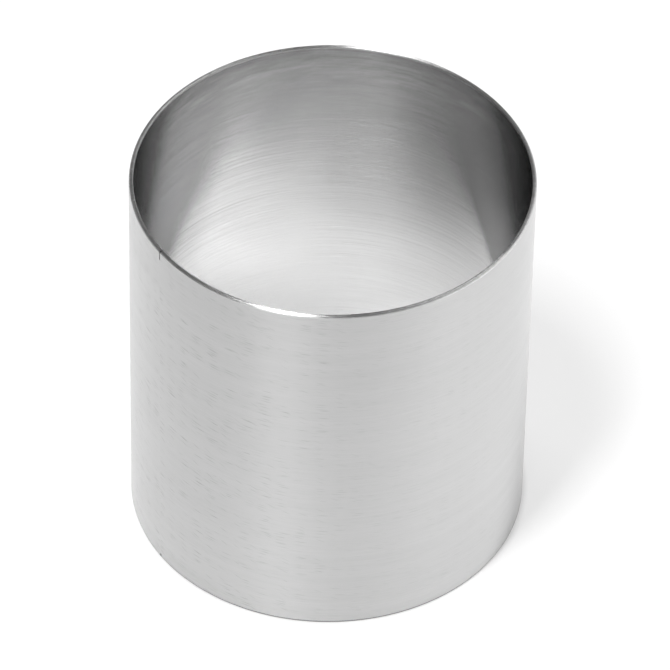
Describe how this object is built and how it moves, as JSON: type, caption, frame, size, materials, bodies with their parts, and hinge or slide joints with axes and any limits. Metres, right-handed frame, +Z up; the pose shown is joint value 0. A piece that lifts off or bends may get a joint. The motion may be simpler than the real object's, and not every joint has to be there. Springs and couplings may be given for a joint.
{
  "type": "pastry ring",
  "caption": "Tall open-ended ring of rolled stainless sheet with an upright welded seam and rounded rims, for shaping, baking and cutting pastry.",
  "frame": {"origin": "centre of the lower rim, on the plane that the ring stands on", "axes": "+Z up along the ring's axis; -Y towards the front, with the seam on the front left"},
  "size_m": [0.076, 0.076, 0.08],
  "materials": {
    "brushed_steel": "satin, brushed round the ring",
    "weld_steel": "dressed weld, satin"
  },
  "bodies": {
    "root": {"ring_band": "brushed_steel", "weld_seam": "weld_steel"}
  },
  "joints": []
}
